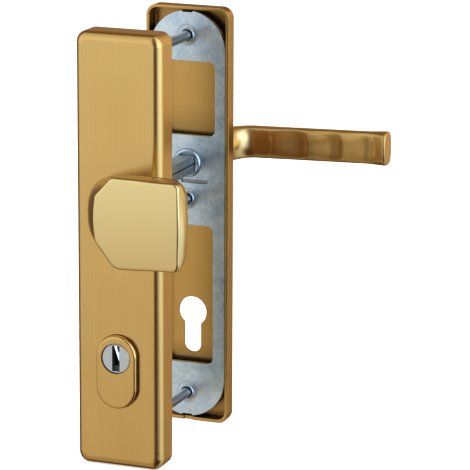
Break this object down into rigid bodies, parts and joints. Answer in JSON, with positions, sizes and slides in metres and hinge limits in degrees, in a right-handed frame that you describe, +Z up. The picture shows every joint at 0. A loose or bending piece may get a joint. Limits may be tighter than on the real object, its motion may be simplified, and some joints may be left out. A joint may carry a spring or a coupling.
{
  "type": "security door handle set",
  "caption": "Door fitting for a euro-profile lock: outer plate with offset knob and sprung key disc, inner plate with lever, split spindle and through bolts.",
  "frame": {"origin": "middle of the outer plate's face against the door, on the plates' centre line at mid-height", "axes": "+X to the right seen from outside, +Y from the outside of the door to the inside, +Z up"},
  "size_m": [0.1282, 0.2215, 0.25],
  "materials": {
    "bronze_anodised": "satin anodised bronze, fine vertical brushing",
    "bronze_polished": "polished bronze anodising",
    "zinc_plated_steel": "zinc plated, faintly mottled",
    "bright_steel": "bright turned steel",
    "spring_steel": "drawn spring wire",
    "black_plastic": "moulded bearing plastic"
  },
  "bodies": {
    "root": {"outer_cover": "bronze_anodised", "reinforcement_plate": "zinc_plated_steel", "threaded_sleeve_top": "zinc_plated_steel", "threaded_sleeve_middle": "zinc_plated_steel", "threaded_sleeve_bottom": "zinc_plated_steel", "knob": "bronze_anodised", "knob_screw": "bright_steel", "knob_support_bush": "zinc_plated_steel", "knob_dowel": "bright_steel", "cylinder_cover": "bronze_anodised", "carrier_retainer": "zinc_plated_steel", "carrier_spring_left": "spring_steel", "carrier_spring_right": "spring_steel", "inner_cover": "bronze_anodised", "mounting_plate": "zinc_plated_steel", "bolt_collar_top": "zinc_plated_steel", "bolt_collar_middle": "zinc_plated_steel", "bolt_collar_bottom": "zinc_plated_steel", "through_bolt_top": "bright_steel", "through_bolt_middle": "bright_steel", "through_bolt_bottom": "bright_steel", "lever_bush": "black_plastic", "stop_pin_left": "zinc_plated_steel", "stop_pin_right": "zinc_plated_steel", "return_spring": "spring_steel"},
    "lever": {"lever_handle": "bronze_polished", "lever_grub_screw": "bright_steel", "spindle_half_upper": "zinc_plated_steel", "spindle_half_lower": "zinc_plated_steel", "spindle_spreader": "bright_steel", "spindle_driver": "zinc_plated_steel"},
    "carrier": {"disc_carrier": "zinc_plated_steel"},
    "disc": {"key_disc": "bright_steel", "disc_circlip": "spring_steel"}
  },
  "joints": [
    {"name": "lever_turn", "type": "hinge", "parent": "root", "child": "lever", "pos_m": [0, 0.084, 0.032], "axis": [0, 1, 0], "range_deg": [-45, 45], "stiffness_Nm_per_rad": 2, "deforming": ["return_spring"]},
    {"name": "carrier_slide", "type": "slide", "parent": "root", "child": "carrier", "axis": [0, 1, 0], "range_m": [0, 0.003], "stiffness_N_per_m": 1200, "springref_m": -0.002, "deforming": ["carrier_spring_left", "carrier_spring_right"]},
    {"name": "key_disc_turn", "type": "hinge", "parent": "carrier", "child": "disc", "pos_m": [0, -0.0208, -0.06], "axis": [0, 1, 0], "continuous": true}
  ]
}
